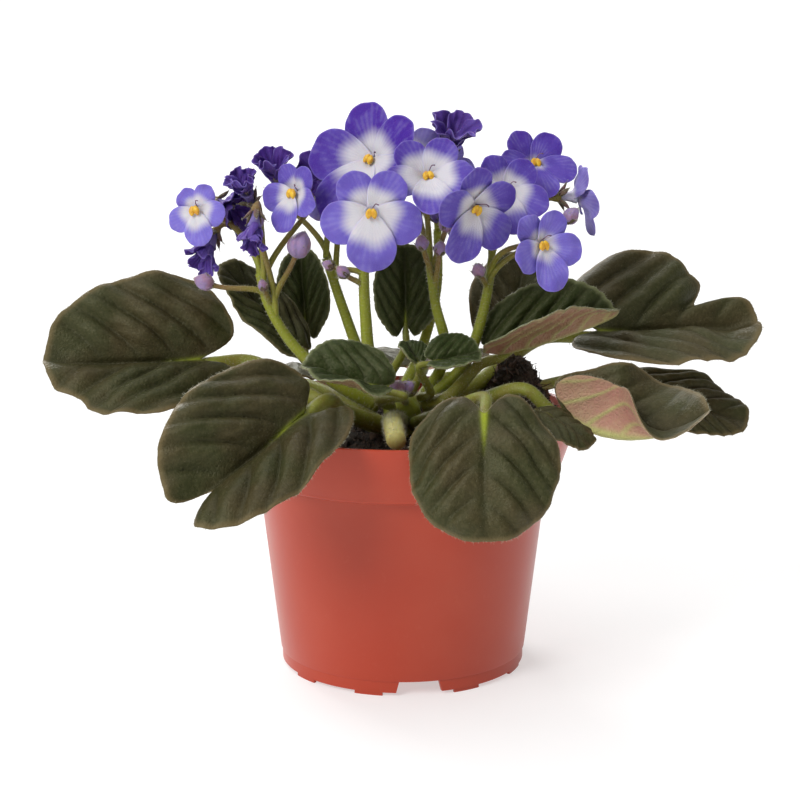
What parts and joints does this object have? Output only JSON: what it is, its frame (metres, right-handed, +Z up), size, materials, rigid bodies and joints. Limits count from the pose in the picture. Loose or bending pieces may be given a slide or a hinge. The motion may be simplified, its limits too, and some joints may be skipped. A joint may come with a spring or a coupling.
{
  "type": "potted african violet",
  "caption": "Flowering African violet with velvety leaves and branched stalks of open blooms and buds, growing in a round plastic nursery pot.",
  "frame": {"origin": "on the pot's axis, at the surface that the pot's feet stand on", "axes": "+Z up the pot's axis, +X to the right and -Y to the front as the plant faces the viewer"},
  "size_m": [0.2469, 0.1835, 0.1905],
  "materials": {
    "pot": "moulded terracotta-coloured plastic, soft sheen",
    "mix": "damp dark potting mix with bark and fibre",
    "crown": "short fleshy crown, finely hairy",
    "leaf": "dark green velvety upper side, dull pink underside",
    "stalk": "pale green, finely hairy, flushed red towards the buds",
    "petal": "violet-blue, fading to white round the throat",
    "anther": "yellow, slightly glossy"
  },
  "bodies": {
    "root": {"pot": "pot", "potting_mix": "mix", "crown": "crown", "leaf_left_far": "leaf", "leaf_left_front": "leaf", "leaf_front": "leaf", "leaf_right_back": "leaf", "leaf_right_folded_up": "leaf", "leaf_right_folded_low": "leaf", "leaf_right_low": "leaf", "leaf_under_right": "leaf", "leaf_young_left": "leaf", "leaf_young_right": "leaf", "leaf_young_centre": "leaf", "leaf_centre_back": "leaf", "leaf_back_left_inner": "leaf", "leaf_back_left": "leaf", "leaf_back_right_inner": "leaf", "leaf_back": "leaf", "leaf_back_left_low": "leaf", "flower_stalk_left": "stalk", "bloom_01": "petal", "anthers_01": "anther", "bloom_02": "petal", "bloom_03": "petal", "bloom_04": "petal", "anthers_04": "anther", "bloom_05": "petal", "bloom_06": "petal", "flower_stalk_centre": "stalk", "bloom_07": "petal", "anthers_07": "anther", "bloom_08": "petal", "anthers_08": "anther", "flower_stalk_left_back": "stalk", "bloom_09": "petal", "bloom_10": "petal", "bloom_11": "petal", "anthers_11": "anther", "flower_stalk_right": "stalk", "bloom_12": "petal", "anthers_12": "anther", "bloom_13": "petal", "flower_stalk_far_right": "stalk", "bloom_14": "petal", "anthers_14": "anther", "bloom_15": "petal", "anthers_15": "anther", "bloom_16": "petal", "anthers_16": "anther", "bloom_17": "petal", "anthers_17": "anther", "bloom_18": "petal", "anthers_18": "anther", "flower_stalk_back": "stalk", "bloom_19": "petal", "anthers_19": "anther", "bloom_20": "petal", "bloom_21": "petal", "anthers_21": "anther"}
  },
  "joints": []
}
